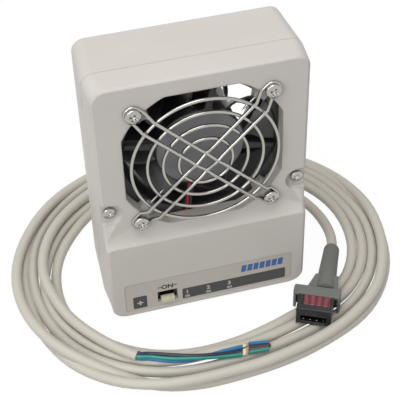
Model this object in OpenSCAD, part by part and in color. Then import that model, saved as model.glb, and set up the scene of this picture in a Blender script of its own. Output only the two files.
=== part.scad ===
// Ionizing blower: a compact bench ionizer with a 60 mm axial fan, four emitter needles
// and a loose power cable that lies in a coil round it. The blower stands on z = 0,
// faces -Y, and its box is centred on the Z axis.

/* [Case] */
// Width over the sides at the parting line
case_w = 80; // [78:1:86]
// Height from the foot to the top
case_h = 110; // [108:1:116]
// Depth from the lower panel to the rear wall
case_d = 39; // [38:0.5:44]
// Wall thickness of both mouldings
wall = 2; // [1.6:0.1:2.2]
// How far each side leans in from the parting line to the front and rear faces
draft = 0.9; // [0.3:0.1:1.4]
// How far the top falls from the parting line to the rear face
rear_drop = 1.4; // [0.6:0.1:2]
// Depth from the fan face to the parting line
seam_y = 11; // [10:0.5:12]
// Radius of the two upper corners
top_r = 5; // [4:0.5:7]
// Radius of the two lower corners
foot_r = 5.5; // [4:0.5:7]
// Rounding of the front edges
front_edge = 0.9; // [0.5:0.1:1.2]
// Rounding of the rear edges
rear_edge = 2; // [1:0.25:2.5]

/* [Lower panel] */
// How far the lower panel stands forward of the fan face
panel_proud = 2.5; // [1.8:0.1:3]
// Height of the lower panel's upper front edge
panel_h = 38; // [34:0.5:38.5]
// Height of the sloping ledge above it
ledge_h = 4; // [2:0.5:4.5]
// Width of the printed overlay
overlay_w = 67.4; // [60:0.2:68]
// Height of the printed overlay
overlay_h = 14.6; // [13.4:0.2:18]
// Height of the overlay's lower edge
overlay_z = 3; // [2:0.2:3.6]
// Thickness of the overlay film
overlay_t = 0.3; // [0.2:0.05:0.4]
// Corner radius of the overlay
overlay_r = 1.2; // [0.6:0.1:2]

/* [Fan face] */
// Height of the fan axis
fan_z = 73.5; // [73:0.25:75]
// Width and height of the outlet in the fan face
outlet_w = 59; // [56:0.5:59]
// Diameter of the arc that cuts the outlet's corners
outlet_arc_d = 64.8; // [63:0.2:65]
// Thickness of the collar wall round the outlet
collar_t = 1.4; // [1:0.1:1.6]
// Depth from the fan face to the fan's front flange
fan_y = 5.5; // [5:0.25:6.5]
// Wire diameter of the finger guard
wire_d = 1.3; // [1:0.1:1.6]
// Radius of the guard's largest ring, at the middle of its wire
ring_r = 27.2; // [26:0.2:28]
// Distance from one guard ring to the next
ring_step = 5.75; // [5:0.05:6]
// Depth from the fan face to the plane of the guard rings
guard_y = 2.4; // [1.8:0.1:3]

/* [Fan] */
// Width and height of the fan frame
fan_w = 60; // [59.5:0.1:60.5]
// Depth of the fan frame
fan_d = 25; // [22:0.5:26]
// Distance between the fan's screw holes
fan_pitch = 50; // [49.6:0.1:50.4]
// Bore of the fan's air duct
bore_d = 57; // [56:0.2:57.6]
// Diameter of the motor plate at the front
motor_plate_d = 33.4; // [32:0.2:35]
// Outer diameter of the rotor hub
hub_d = 32; // [31:0.2:34]
// Number of blades
blades = 7; // [5:1:8]
// Running gap at the blade tips
tip_gap = 0.6; // [0.4:0.1:0.9]
// Thickness of the fan's flanges
flange_t = 3.6; // [3:0.1:4]
// Shaft diameter
shaft_d = 3; // [2:0.1:3.4]

/* [Screws] */
// Thread diameter of the guard screws
guard_screw_d = 3; // [2.6:0.1:3.2]
// Thread diameter of the case screws
case_screw_d = 2.6; // [2.2:0.1:2.8]
// Distance of the case screws from the middle plane
case_screw_x = 36; // [35.5:0.1:36.2]
// Height of the case screws
case_screw_z = 53.5; // [52:0.5:56]
// Radius of the scooped pocket round each case screw
pocket_r = 4.8; // [4:0.1:5]
// Depth of that pocket
pocket_depth = 2.4; // [2:0.1:3]

/* [Controls] */
// Middle of the power switch, across
switch_x = -17; // [-19:0.5:-15]
// Middle of the power switch, up
switch_z = 7.9; // [7.6:0.1:8.6]
// Travel of the switch knob
switch_travel = 2.4; // [1.6:0.1:2.6]
// How far the knob stands out of the panel
knob_proud = 1.2; // [0.8:0.1:1.8]
// Spacing of the three indicator lights
light_step = 8.6; // [8:0.1:9]
// Middle of the first indicator light, across
light_x = -9.1; // [-9.6:0.1:-8.8]

/* [Cable] */
// Outer diameter of the cable
cable_d = 4.2; // [4:0.1:4.4]
// Diameter of one insulated core
core_d = 1.5; // [1.3:0.1:1.6]

/* [Hidden] */
$fn = 64;

eps = 0.01;
hull_fn = 32;
fit = 0.1;

rear_y = case_d - panel_proud;
front_half = case_w / 2 - draft;
wire_sink = 0.15;
guard_front = guard_y + 1.5 * wire_d - wire_sink;
proud = max(guard_front, panel_proud + knob_proud);
// Shifts the model so that the blower's box is centred on y = 0
origin_y = (rear_y - proud) / 2;

grey = "#c9c6c0";
black = "#1b1b1d";

// ---------------------------------------------------------------- helpers

// An outline in x and z, made solid from y0 towards the rear
module plate_y(y0, t) {
    translate([0, y0 + t, 0]) rotate([90, 0, 0]) linear_extrude(t) children();
}

// A round rod along Y
module rod_y(d, y0, t, x = 0, z = 0) {
    translate([x, y0 + t, z]) rotate([90, 0, 0]) cylinder(d = d, h = t);
}

// A box given by its lowest corner and its highest corner
module block(a, b) {
    translate(a) cube(b - a);
}

// The four corner rods of a case section, for a hull
module section(half, z0, z1, r_top, r_foot, y) {
    for (s = [-1, 1]) {
        translate([s * (half - r_top), y + eps, z1 - r_top])
            rotate([90, 0, 0]) cylinder(r = r_top, h = eps, $fn = hull_fn);
        translate([s * (half - r_foot), y + eps, z0 + r_foot])
            rotate([90, 0, 0]) cylinder(r = r_foot, h = eps, $fn = hull_fn);
    }
}

// A rounded outline in x and z that stands on z0
module round_outline(half, z0, z1, r_top, r_foot) {
    translate([-half, z0 + r_foot]) square([2 * half, z1 - r_top - z0 - r_foot]);
    translate([r_foot - half, z0]) square([2 * (half - r_foot), r_foot + eps]);
    translate([r_top - half, z1 - r_top - eps]) square([2 * (half - r_top), r_top + eps]);
    for (s = [-1, 1]) {
        translate([s * (half - r_top), z1 - r_top]) circle(r = r_top);
        translate([s * (half - r_foot), z0 + r_foot]) circle(r = r_foot);
    }
}

// Places its children at the four fan screw holes
module at_fan_corners(y = 0) {
    for (sx = [-1, 1], sz = [-1, 1])
        translate([sx * fan_pitch / 2, y, fan_z + sz * fan_pitch / 2]) children();
}

// A tube along a list of points: one ring of sides at each point
function unit(v) = v / norm(v);
function tangent(p, i) = unit(p[min(i + 1, len(p) - 1)] - p[max(i - 1, 0)]);
function side_dir(t) = abs(t[2]) > 0.95 ? unit(cross(t, [0, 1, 0])) : unit(cross(t, [0, 0, 1]));
function tube_ring(p, i, r, n) =
    let (t = tangent(p, i), u = side_dir(t), v = cross(u, t))
    [for (k = [0 : n - 1]) p[i] + r * (cos(360 * k / n) * u + sin(360 * k / n) * v)];
function wrap_faces(count, n) =
    [for (i = [0 : count - 2], k = [0 : n - 1])
        let (a = i * n + k, b = i * n + (k + 1) % n)
        each [[a, a + n, b + n], [a, b + n, b]]];
module tube(p, d, n = 8) {
    count = len(p);
    polyhedron(
        points = [for (i = [0 : count - 1]) each tube_ring(p, i, d / 2, n)],
        faces = concat(
            wrap_faces(count, n),
            [[for (k = [n - 1 : -1 : 0]) (count - 1) * n + k]],
            [[for (k = [0 : n - 1]) k]]));
}

// ---------------------------------------------------------------- case

module outlet_outline(grow = 0) {
    intersection() {
        translate([-outlet_w / 2 - grow, fan_z - outlet_w / 2 - grow])
            square(outlet_w + 2 * grow);
        translate([0, fan_z]) circle(d = outlet_arc_d + 2 * grow, $fn = 96);
    }
}

module front_outer() {
    hull() {
        section(front_half - front_edge, front_edge, case_h - front_edge, top_r, foot_r, 0);
        section(front_half, 0, case_h, top_r, foot_r, front_edge);
        section(case_w / 2, 0, case_h, top_r, foot_r, seam_y - eps);
    }
}

module panel_outer() {
    hull() {
        section(front_half - front_edge, front_edge, panel_h, front_edge, foot_r, -panel_proud);
        section(front_half, 0, panel_h, front_edge, foot_r, front_edge - panel_proud);
        section(front_half, 0, panel_h + ledge_h, front_edge, foot_r, front_edge);
    }
}

module front_cavity() {
    hull() {
        section(front_half - wall, wall, case_h - wall, top_r - 1, foot_r - 1, wall);
        section(case_w / 2 - wall, wall, case_h - wall, top_r - 1, foot_r - 1, seam_y);
    }
    plate_y(wall - panel_proud, panel_proud + 0.5)
        round_outline(front_half - wall, wall, panel_h - wall, 1, foot_r - 1);
}

// The half round scoop that the case screw sits in, open to the side
module pocket(side, y0, depth, r) {
    rod_y(2 * r, y0, depth, side * case_screw_x, case_screw_z);
    block(
        [side > 0 ? case_screw_x : -case_w / 2 - 1, y0, case_screw_z - r],
        [side > 0 ? case_w / 2 + 1 : -case_screw_x, y0 + depth, case_screw_z + r]);
}

// Closed box round the scoop, so that the wall goes round it
module pocket_shell(side) {
    intersection() {
        pocket(side, eps, pocket_depth + wall, pocket_r + wall);
        front_outer();
    }
}

window_w = 8.1;
window_h = 5.9;
light_w = 2;
light_h = 1.2;
light_z = 5.3;
boss_d = 7;
case_boss_d = 5.6;
hook_w = 7;
hook_t = 1.2;
hook_reach = 5;
hook_z = [22, 95];
lip_t = 0.9;
lip_reach = 1.6;

module front_cover() {
    color(grey) difference() {
        union() {
            difference() {
                union() {
                    front_outer();
                    panel_outer();
                }
                front_cavity();
            }
            // Collar that guides the air and seats the fan
            plate_y(eps, fan_y - eps) outlet_outline(collar_t);
            // Bosses behind the guard screws
            at_fan_corners() rod_y(boss_d, wall - eps, fan_y - wall + eps);
            for (side = [-1, 1]) {
                pocket_shell(side);
                rod_y(case_boss_d, pocket_depth, seam_y + lip_reach - pocket_depth,
                    side * case_screw_x, case_screw_z);
            }
            front_lip();
            front_hooks();
            // Small ribs that centre the fan between the collar's sides
            for (side = [-1, 1])
                block([side * outlet_w / 2 - 0.8, 1, fan_z + 2], [side * outlet_w / 2 + 0.8, fan_y, fan_z + 3.2]);
        }
        plate_y(-1, fan_y + 2) outlet_outline();
        at_fan_corners() rod_y(guard_screw_d + 0.4, -1, fan_y + 2);
        for (side = [-1, 1]) {
            pocket(side, -1, pocket_depth + 1, pocket_r);
            rod_y(case_screw_d + 0.3, 0, seam_y + lip_reach + 1, side * case_screw_x, case_screw_z);
        }
        overlay_recess();
        block(
            [switch_x - window_w / 2, -panel_proud - 1, switch_z - window_h / 2],
            [switch_x + window_w / 2, wall, switch_z + window_h / 2]);
        for (k = [0 : 2])
            block(
                [light_x + k * light_step - light_w / 2, -panel_proud - 1, light_z - light_h / 2],
                [light_x + k * light_step + light_w / 2, wall, light_z + light_h / 2]);
    }
}

module overlay_outline(grow = 0) {
    half = overlay_w / 2 + grow;
    round_outline(half, overlay_z - grow, overlay_z + overlay_h + grow,
        overlay_r + grow, overlay_r + grow);
}

module overlay_recess() {
    plate_y(-panel_proud - 1, 1 + overlay_t) overlay_outline(fit);
}

// Tongue that enters the rear cover all round the parting line
module front_lip() {
    half = case_w / 2 - wall + lip_t;
    difference() {
        plate_y(seam_y - 2, 2 + lip_reach)
            round_outline(half, wall - lip_t, case_h - wall + lip_t, top_r - 1, foot_r - 1);
        plate_y(seam_y - 3, 4 + lip_reach)
            round_outline(half - lip_t - 0.2, wall + 0.2, case_h - wall - 0.2, top_r - 1.5, foot_r - 1.5);
    }
}

// Snap hooks on the two sides: each has a nose that sits in a window of the rear cover
module front_hooks() {
    outer = case_w / 2 - wall - 0.4;
    for (side = [-1, 1], z = hook_z) {
        block(
            [side > 0 ? outer - hook_t : -outer, seam_y - 3, z - hook_w / 2],
            [side > 0 ? outer : hook_t - outer, seam_y + hook_reach, z + hook_w / 2]);
        // Root that joins the arm to the tongue
        block(
            [side > 0 ? outer - eps : -outer - 0.4, seam_y - 3, z - hook_w / 2],
            [side > 0 ? outer + 0.4 : eps - outer, seam_y + lip_reach, z + hook_w / 2]);
        block(
            [side > 0 ? outer - eps : -outer - 1, seam_y + hook_reach - 2, z - hook_w / 2 + 1],
            [side > 0 ? outer + 1 : eps - outer, seam_y + hook_reach - 0.4, z + hook_w / 2 - 1]);
    }
}

module rear_outer() {
    hull() {
        section(case_w / 2, 0, case_h, top_r, foot_r, seam_y);
        section(case_w / 2 - draft, 0, case_h - rear_drop, top_r, foot_r, rear_y - rear_edge);
        section(case_w / 2 - draft - rear_edge, rear_edge, case_h - rear_drop - rear_edge,
            top_r, foot_r, rear_y - eps);
    }
}

module rear_cavity() {
    hull() {
        section(case_w / 2 - wall, wall, case_h - wall, top_r - 1, foot_r - 1, seam_y - 1);
        section(case_w / 2 - draft - wall, wall, case_h - rear_drop - wall,
            top_r - 1, foot_r - 1, rear_y - wall - eps);
    }
}

inlet_d = bore_d + 1;
grille_bar = 1.6;
grille_rings = [9, 18];
board_z = 2.8;
board_t = 1.6;
board_top = board_z + board_t;
// Half width that fits between the rounded lower corners at the board's underside
foot_in = foot_r - 1;
board_half = case_w / 2 - draft - wall - foot_in
    + sqrt(foot_in * foot_in - pow(foot_in + wall - board_z, 2)) - 0.6;
rail_t = 1.2;
plug_body_w = 13.6;
plug_h = 8.4;
slot_pitch = 2.6;
slot_drop = 1.2;
socket_x = 20;
socket_wall = 1;
socket_w = plug_body_w + 0.4 + 2 * socket_wall;
socket_h = plug_h + 0.4 + 2 * socket_wall;
socket_back = rear_y - 0.6;
socket_depth = 10;
pin_count = 4;

// Round inlet with two concentric bars and four diagonal spokes
module inlet_grille() {
    plate_y(rear_y - wall, wall) intersection() {
        translate([0, fan_z]) circle(d = inlet_d + 1);
        union() {
            for (r = grille_rings) translate([0, fan_z]) difference() {
                circle(r = r + grille_bar / 2);
                circle(r = r - grille_bar / 2);
            }
            translate([0, fan_z]) circle(r = 3.4);
            for (a = [45, 135]) translate([0, fan_z]) rotate(a)
                square([inlet_d + 1, grille_bar], center = true);
        }
    }
}

module rear_cover() {
    color(grey) difference() {
        union() {
            difference() {
                rear_outer();
                rear_cavity();
                plate_y(rear_y - wall - 1, wall + 2) translate([0, fan_z]) circle(d = inlet_d);
            }
            inlet_grille();
            for (side = [-1, 1]) {
                rod_y(case_boss_d, seam_y, 14, side * case_screw_x, case_screw_z);
                // Rails that hold the control board by its ends
                block(
                    [side > 0 ? board_half - 1 : -case_w / 2 + wall - eps, seam_y + 3, board_top + fit],
                    [side > 0 ? case_w / 2 - wall + eps : 1 - board_half, rear_y - wall - 2, board_top + fit + rail_t]);
            }
            // Ribs on the floor under the board
            for (x = [-28, 0, 28])
                block([x - 0.6, seam_y + 3, wall - eps], [x + 0.6, rear_y - wall, board_z]);
        }
        // Rabbet for the front cover's tongue
        plate_y(seam_y - 1, 1 + lip_reach + fit)
            round_outline(case_w / 2 - wall + lip_t + fit, wall - lip_t - fit,
                case_h - wall + lip_t + fit, top_r - 1, foot_r - 1);
        // Windows for the noses of the snap hooks
        for (side = [-1, 1], z = hook_z)
            block(
                [side > 0 ? case_w / 2 - wall - 1 : -case_w / 2 - 1, seam_y + hook_reach - 2.3, z - hook_w / 2 + 0.7],
                [side > 0 ? case_w / 2 + 1 : wall + 1 - case_w / 2, seam_y + hook_reach, z + hook_w / 2 - 0.7]);
        for (side = [-1, 1])
            rod_y(case_screw_d + fit, seam_y - 1, 12, side * case_screw_x, case_screw_z);
        block(
            [socket_x - socket_w / 2 - 0.3, rear_y - wall - 1, board_top - 0.3],
            [socket_x + socket_w / 2 + 0.3, rear_y + 1, board_top + socket_h + 0.3]);
    }
}

// ---------------------------------------------------------------- fan

// Local z points to the rear along the fan axis
module on_axis(y = 0) {
    translate([0, y, fan_z]) rotate([-90, 0, 0]) children();
}

duct_wall = 1.25;
fan_hole_d = 4.3;
plate_t = 2;
strut_w = 2.4;
strut_t = 3;
strut_angles = [102, 12, 282, 192];
tube_d = 7.6;
tube_len = 15;
bearing_d = 6;
bearing_t = 2.5;
hub_start = 3.2;
hub_len = fan_d - hub_start - 1.6;
hub_wall = 1.5;
magnet_t = 1.5;
magnet_len = 10;
stator_r = 12.4;
lead_x = -5.3;
lead_d = 1.1;

// Notch for the leads in the front flange and in the end of the lower strut
module lead_notch() {
    block(
        [lead_x - 2, fan_y - 1, fan_z - fan_w / 2 - 1],
        [lead_x + 2, fan_y + 1.2, fan_z - bore_d / 2 + 2]);
}

module fan_frame() {
    color(black) difference() {
        union() {
            for (y = [fan_y, fan_y + fan_d - flange_t])
                plate_y(y, flange_t) round_outline(fan_w / 2, fan_z - fan_w / 2,
                    fan_z + fan_w / 2, 4, 4);
            on_axis(fan_y) cylinder(d = bore_d + 2 * duct_wall, h = fan_d, $fn = 96);
        }
        on_axis(fan_y - 1) cylinder(d = bore_d, h = fan_d + 2, $fn = 96);
        // Flares at both ends of the duct
        on_axis(fan_y - eps) cylinder(d1 = bore_d + 1.6, d2 = bore_d, h = 2, $fn = 96);
        on_axis(fan_y + fan_d - 2 + eps) cylinder(d1 = bore_d, d2 = bore_d + 1.6, h = 2, $fn = 96);
        at_fan_corners() rod_y(fan_hole_d, fan_y - 1, fan_d + 2);
        lead_notch();
    }
}

// Motor plate on four struts that end on the wall of the duct, with the bearing tube
module motor_mount() {
    color(black) difference() {
        union() {
            on_axis(fan_y) cylinder(d = motor_plate_d, h = plate_t);
            on_axis(fan_y) intersection() {
                cylinder(d = bore_d, h = strut_t, $fn = 96);
                for (a = strut_angles) rotate(a)
                    translate([motor_plate_d / 2 - 1, -strut_w / 2, 0])
                        cube([(bore_d - motor_plate_d) / 2 + 2, strut_w, strut_t]);
            }
            on_axis(fan_y + plate_t - eps) cylinder(d = tube_d, h = tube_len);
        }
        on_axis(fan_y + plate_t - 0.8) cylinder(d = bearing_d, h = tube_len + 2);
        lead_notch();
    }
}

module motor_label() {
    color("#8e8e90") on_axis(fan_y - 0.15) cylinder(d = motor_plate_d - 1, h = 0.15);
}

module shaft_bearings() {
    for (y = [fan_y + plate_t, fan_y + plate_t + tube_len - bearing_t - 0.2])
        color("silver") on_axis(y) difference() {
            cylinder(d = bearing_d, h = bearing_t);
            translate([0, 0, -1]) cylinder(d = shaft_d + 0.04, h = bearing_t + 2);
        }
}

shaft_start = fan_y + plate_t - 0.4;
shaft_end = fan_y + fan_d - 3;
module fan_shaft() {
    color("silver") on_axis(shaft_start) cylinder(d = shaft_d, h = shaft_end - shaft_start);
}

// One blade seen from the front: a band from the hub to the tip, swept forward
blade_sweep = 14;
blade_chord = 3.6;
blade_start = 4.2;
blade_len = 17.5;
blade_turn = 44;
module blade_outline() {
    r0 = hub_d / 2 - 0.4;
    r1 = bore_d / 2 - tip_gap;
    steps = 4;
    function edge(shift) = [for (k = [0 : steps])
        let (r = r0 + (r1 - r0) * k / steps, a = blade_sweep * pow(k / steps, 2) + shift * 16 / r)
        [r * cos(a), r * sin(a)]];
    lead = edge(0);
    trail = edge(blade_chord);
    polygon(concat(lead, [for (k = [steps : -1 : 0]) trail[k]]));
}

module fan_rotor() {
    color("#26262a") {
        difference() {
            union() {
                difference() {
                    on_axis(fan_y + hub_start) cylinder(d = hub_d, h = hub_len);
                    on_axis(fan_y + hub_start - 1)
                        cylinder(d = hub_d - 2 * hub_wall, h = hub_len + 1 - 2);
                }
                on_axis(fan_y + fan_d - 6.6) cylinder(d = 6.6, h = 4);
            }
            on_axis(fan_y + fan_d - 7) cylinder(d = shaft_d, h = shaft_end - fan_y - fan_d + 7);
        }
        for (k = [0 : blades - 1]) on_axis(fan_y + blade_start)
            rotate(360 * k / blades + 4)
                linear_extrude(height = blade_len, twist = -blade_turn, slices = 7, $fn = 8)
                    blade_outline();
    }
}

module rotor_magnet() {
    color("#4a4a4d") on_axis(fan_y + hub_start + 0.6) difference() {
        cylinder(d = hub_d - 2 * hub_wall, h = magnet_len);
        translate([0, 0, -1]) cylinder(d = hub_d - 2 * hub_wall - 2 * magnet_t, h = magnet_len + 2);
    }
}

module stator_core() {
    color("#8a8d92") on_axis(fan_y + 6.4) linear_extrude(5) {
        difference() {
            union() {
                circle(r = 5.6);
                for (a = [0 : 90 : 270]) rotate(a) translate([0, -1.4]) square([stator_r - 1, 2.8]);
            }
            circle(d = tube_d);
        }
        for (a = [0 : 90 : 270]) rotate(a) intersection() {
            difference() {
                circle(r = stator_r);
                circle(r = stator_r - 1.6);
            }
            polygon([[0, 0], [20, -14], [20, 14]]);
        }
    }
}

module stator_coils() {
    color("#b46a35") for (a = [0 : 90 : 270]) on_axis(fan_y + 5.2) rotate(a) difference() {
        translate([6, -3, 0]) cube([4.4, 6, 7.4]);
        translate([5, -1.4, 1.2]) cube([7, 2.8, 5]);
    }
}

module motor_board() {
    color("#2f6b3c") on_axis(fan_y + plate_t + 0.8) difference() {
        cylinder(d = 25, h = 1);
        translate([0, 0, -1]) cylinder(d = tube_d, h = 3);
    }
}

// The leads lie on the lower strut, pass the notch and drop to the control board
lead_route = [
    [1.2, -0.65, 15.8], [0.4, -0.65, 22], [0, -0.65, 26], [0, -0.5, 27], [0, 0.62, 29.3],
    [0, 0.62, 31.2], [0, 2, 35], [0, 3, 52], [0, 3.4, 62]
];
module fan_lead(shift) {
    last = [lead_x + shift, fan_y + 3.4, board_top];
    tube(concat([for (p = lead_route) [p[0] + lead_x + shift, fan_y + p[1], fan_z - p[2]]], [last]),
        lead_d, 8);
}
module fan_lead_red() {
    color("#b01825") fan_lead(-lead_d / 2 - 0.05);
}
module fan_lead_black() {
    color("#141414") fan_lead(lead_d / 2 + 0.05);
}

// ---------------------------------------------------------------- guard and screws

guard_rings = 4;
pair_half = 2.85;
joggle_out = fan_pitch / sqrt(2) - 3.2;
joggle_in = joggle_out - 3.4;
bar_y = guard_y + wire_d - wire_sink;

module rod_between(a, b, d) {
    v = b - a;
    translate(a) rotate([0, acos(v[2] / norm(v)), atan2(v[1], v[0])]) cylinder(d = d, h = norm(v));
}

// Half of one wire loop, in a frame whose x runs to the corner and whose z points forward
module loop_half() {
    corner = fan_pitch / sqrt(2);
    low = wire_d / 2;
    for (s = [-1, 1]) {
        rod_between([0, s * pair_half, bar_y], [joggle_in, s * pair_half, bar_y], wire_d);
        translate([joggle_in, s * pair_half, bar_y]) sphere(d = wire_d);
        rod_between([joggle_in, s * pair_half, bar_y], [joggle_out, s * pair_half, low], wire_d);
        translate([joggle_out, s * pair_half, low]) sphere(d = wire_d);
        rod_between([joggle_out, s * pair_half, low], [corner, s * pair_half, low], wire_d);
    }
    translate([corner, 0, low]) rotate(-90)
        rotate_extrude(angle = 180) translate([pair_half, 0]) circle(d = wire_d);
}

module finger_guard() {
    color("#d8d8d6") translate([0, 0, fan_z]) rotate([90, 0, 0]) {
        for (k = [0 : guard_rings - 1])
            translate([0, 0, guard_y]) rotate_extrude()
                translate([ring_r - k * ring_step, 0]) circle(d = wire_d);
        for (a = [45 : 90 : 315]) rotate(a) loop_half();
    }
}

head_d = 5.8;
head_h = 2;
nut_h = 2.4;
screw_end = fan_y + flange_t + nut_h + 1;

// Pan head with a cross recess; its seat is at y = 0 and the shank runs to the rear
module pan_head(d, h) {
    difference() {
        intersection() {
            rod_y(d, -h, h);
            translate([0, d * 0.95 - h, 0]) sphere(r = d * 0.95);
        }
        for (a = [0, 90]) rotate([0, a, 0])
            block([-d * 0.27, -h - 1, -d * 0.07], [d * 0.27, -h * 0.35, d * 0.07]);
    }
}

module guard_screws() {
    color("silver") at_fan_corners(-wire_d) {
        rotate([0, 25, 0]) pan_head(head_d, head_h);
        rod_y(guard_screw_d, -eps, screw_end + wire_d);
    }
}

module guard_nuts() {
    color("silver") at_fan_corners(fan_y + flange_t) difference() {
        translate([0, nut_h, 0]) rotate([90, 0, 0]) cylinder(d = 6.3, h = nut_h, $fn = 6);
        rod_y(guard_screw_d + 0.05, -1, nut_h + 2);
    }
}

module case_screws() {
    color("silver") for (side = [-1, 1])
        translate([side * case_screw_x, pocket_depth, case_screw_z]) {
            rotate([0, 20, 0]) pan_head(4.8, 1.8);
            rod_y(case_screw_d, -eps, 17);
        }
}

// ---------------------------------------------------------------- emitters

needle_d = 0.8;
needle_tip_r = 21;
holder_in = 28.4;
holder_out = outlet_arc_d / 2 - 0.18;
holder_w = 5;
needle_y = 3.2;

module at_emitters(y) {
    for (a = [45 : 90 : 315]) on_axis(y) rotate(a) children();
}

module needle_holders() {
    color("#a9a7a2") at_emitters(1.4) difference() {
        union() {
            translate([holder_in + 1, -holder_w / 2, 0])
                cube([holder_out - holder_in - 1, holder_w, fan_y - 1.5]);
            translate([holder_in, 0, needle_y - 1.4]) rotate([0, 90, 0])
                cylinder(d = 3, h = 2, $fn = 6);
        }
        translate([holder_in - 1, 0, needle_y - 1.4]) rotate([0, 90, 0])
            cylinder(d = needle_d + 0.04, h = 4, $fn = 24);
    }
}

module emitter_needles() {
    color("#c4c6c9") at_emitters(needle_y) {
        translate([needle_tip_r + 2, 0, 0]) rotate([0, 90, 0])
            cylinder(d = needle_d, h = holder_in + 2.6 - needle_tip_r - 2, $fn = 24);
        translate([needle_tip_r + 2, 0, 0]) rotate([0, -90, 0])
            cylinder(d1 = needle_d, d2 = 0.1, h = 2, $fn = 24);
    }
}

// ---------------------------------------------------------------- electronics

module control_board() {
    color("#2f6b3c") difference() {
        block([-board_half, 1, board_z], [board_half, rear_y - wall - 1, board_top]);
        for (side = [-1, 1]) block(
            [side > 0 ? board_half - 2 : -board_half - 1, 0, 0],
            [side > 0 ? board_half + 1 : 2 - board_half, seam_y + 2.5, 10]);
        contact_tails(fit);
    }
}

module_low = [-29, 13, 0];
module_high = [7, 33, 20];
module high_voltage_module() {
    lift = [0, 0, board_top];
    color("#3a3d42") {
        block(module_low + lift, module_high + lift);
        for (x = [-22, 0], y = [17, 29])
            translate([x, y, board_top + module_high[2] - eps]) cylinder(d = 3, h = 1.6, $fn = 6);
    }
}

// Two leads rise from the module to the underside of the collar, beside the lower holders
lead_hv_d = 1.6;
module high_voltage_leads() {
    top = board_top + module_high[2] + 1.6;
    low = outlet_arc_d / 2 + collar_t + lead_hv_d / 2 + 0.1;
    color("#d8d4c8") for (side = [-1, 1]) tube([
        [side > 0 ? 0 : -22, 17, top], [side > 0 ? 0 : -22, 17, top + 1],
        [side > 0 ? 2 : -21.6, 16, top + 2.8], [side * 10, 11, 32],
        [side * 16, 6, 36], [side * low / 2, 3.7, 40], [side * low / 2, 3.7, fan_z - low * sin(60)]
    ], lead_hv_d, 8);
}

knob_w = 5.4;
knob_h = 2.1;
knob_seat = 0.35;
slider_w = 7.4;
slider_z = switch_z - window_h / 2 + knob_seat;
switch_face = wall - panel_proud + 0.1;
switch_half = 5.2;

// The room that the knob and its wider slider need over their travel
module switch_room() {
    z0 = slider_z - fit;
    z1 = slider_z + knob_h + switch_travel + fit;
    block([switch_x - knob_w / 2 - fit, switch_face - 1, z0], [switch_x + knob_w / 2 + fit, switch_face + 2, z1]);
    block(
        [switch_x - slider_w / 2 - fit, switch_face + 1, z0],
        [switch_x + slider_w / 2 + fit, switch_face + 3.4, z1]);
}

module switch_body() {
    color("#1d1d1f") difference() {
        block(
            [switch_x - switch_half, switch_face, board_top],
            [switch_x + switch_half, switch_face + 7, switch_z + window_h / 2 + 1]);
        switch_room();
    }
}

module switch_knob() {
    color("#d9d3b4") {
        block(
            [switch_x - knob_w / 2, -panel_proud - knob_proud, slider_z],
            [switch_x + knob_w / 2, switch_face + 2, slider_z + knob_h]);
        block(
            [switch_x - slider_w / 2, switch_face + 1 + fit, slider_z],
            [switch_x + slider_w / 2, switch_face + 3.4 - fit, slider_z + knob_h]);
    }
}

// Three contact tails below the switch, through the board
module contact_tails(grow = 0) {
    for (x = [-2.5, 0, 2.5])
        block(
            [switch_x + x - 0.4 - grow, 4 - grow, board_z - 0.6],
            [switch_x + x + 0.4 + grow, 4.6 + grow, board_top]);
}

module switch_contacts() {
    color("#c9a24a") contact_tails();
}

module indicator_lights() {
    color("#dfe6d8") for (k = [0 : 2]) translate([light_x + k * light_step, 0, 0]) {
        block(
            [0.1 - light_w / 2, overlay_t - panel_proud, light_z - light_h / 2 + 0.1],
            [light_w / 2 - 0.1, 2, light_z + light_h / 2 - 0.1]);
        block([-1.6, 1.4, board_top], [1.6, 4, board_top + 2]);
    }
}

// The socket's cavity takes the plug's body
module power_socket() {
    low = [socket_x - socket_w / 2, socket_back - socket_depth - 4, board_top];
    high = [socket_x + socket_w / 2, socket_back, board_top + socket_h];
    color("#e6e3da") difference() {
        block(low, high);
        block(low + [socket_wall, 4, socket_wall], high + [-socket_wall, 1, -socket_wall]);
        pin_rods(0.84, socket_back - socket_depth - 5, 6);
    }
}

module pin_rods(d, y0, t) {
    for (k = [0 : pin_count - 1])
        rod_y(d, y0, t, socket_x + (k - (pin_count - 1) / 2) * slot_pitch,
            board_top + socket_h / 2 - slot_drop);
}

module socket_pins() {
    color("#c9a24a") pin_rods(0.8, socket_back - socket_depth - 4.2, 11);
}

module filter_capacitor() {
    color("#2b3350") translate([27, 14, board_top]) cylinder(d = 8, h = 11.5);
}

module panel_overlay() {
    color("#c4bfb6") difference() {
        plate_y(-panel_proud, overlay_t) overlay_outline();
        block(
            [switch_x - window_w / 2, -panel_proud - 1, switch_z - window_h / 2],
            [switch_x + window_w / 2, 0, switch_z + window_h / 2]);
    }
}

// ---------------------------------------------------------------- cable

coil_mid = [3, 21.3];
coil_outer = [80, 70];
coil_inner = [59.5, 51.5];
coil_h = cable_d + 0.2;
coil_sides = 60;

function ellipse(size) =
    [for (k = [0 : coil_sides - 1])
        coil_mid + [size[0] * cos(360 * k / coil_sides), size[1] * sin(360 * k / coil_sides)]];

module cable_coil() {
    color("#c4bcae") linear_extrude(coil_h) difference() {
        polygon(ellipse(coil_outer));
        polygon(ellipse(coil_inner));
    }
}

lead_route_z = cable_d / 2;
cable_route = [
    [56.8, 11.4, 3.3], [58, 16.5, 2.4], [58.2, 23, lead_route_z], [57.6, 30, lead_route_z],
    [55.8, 38, lead_route_z], [52.8, 45, lead_route_z], [49, 51.5, lead_route_z],
    [45, 57, lead_route_z], [42, 61.5, lead_route_z]
];
module cable_lead() {
    color("#c4bcae") tube(cable_route, cable_d, 12);
}

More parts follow.
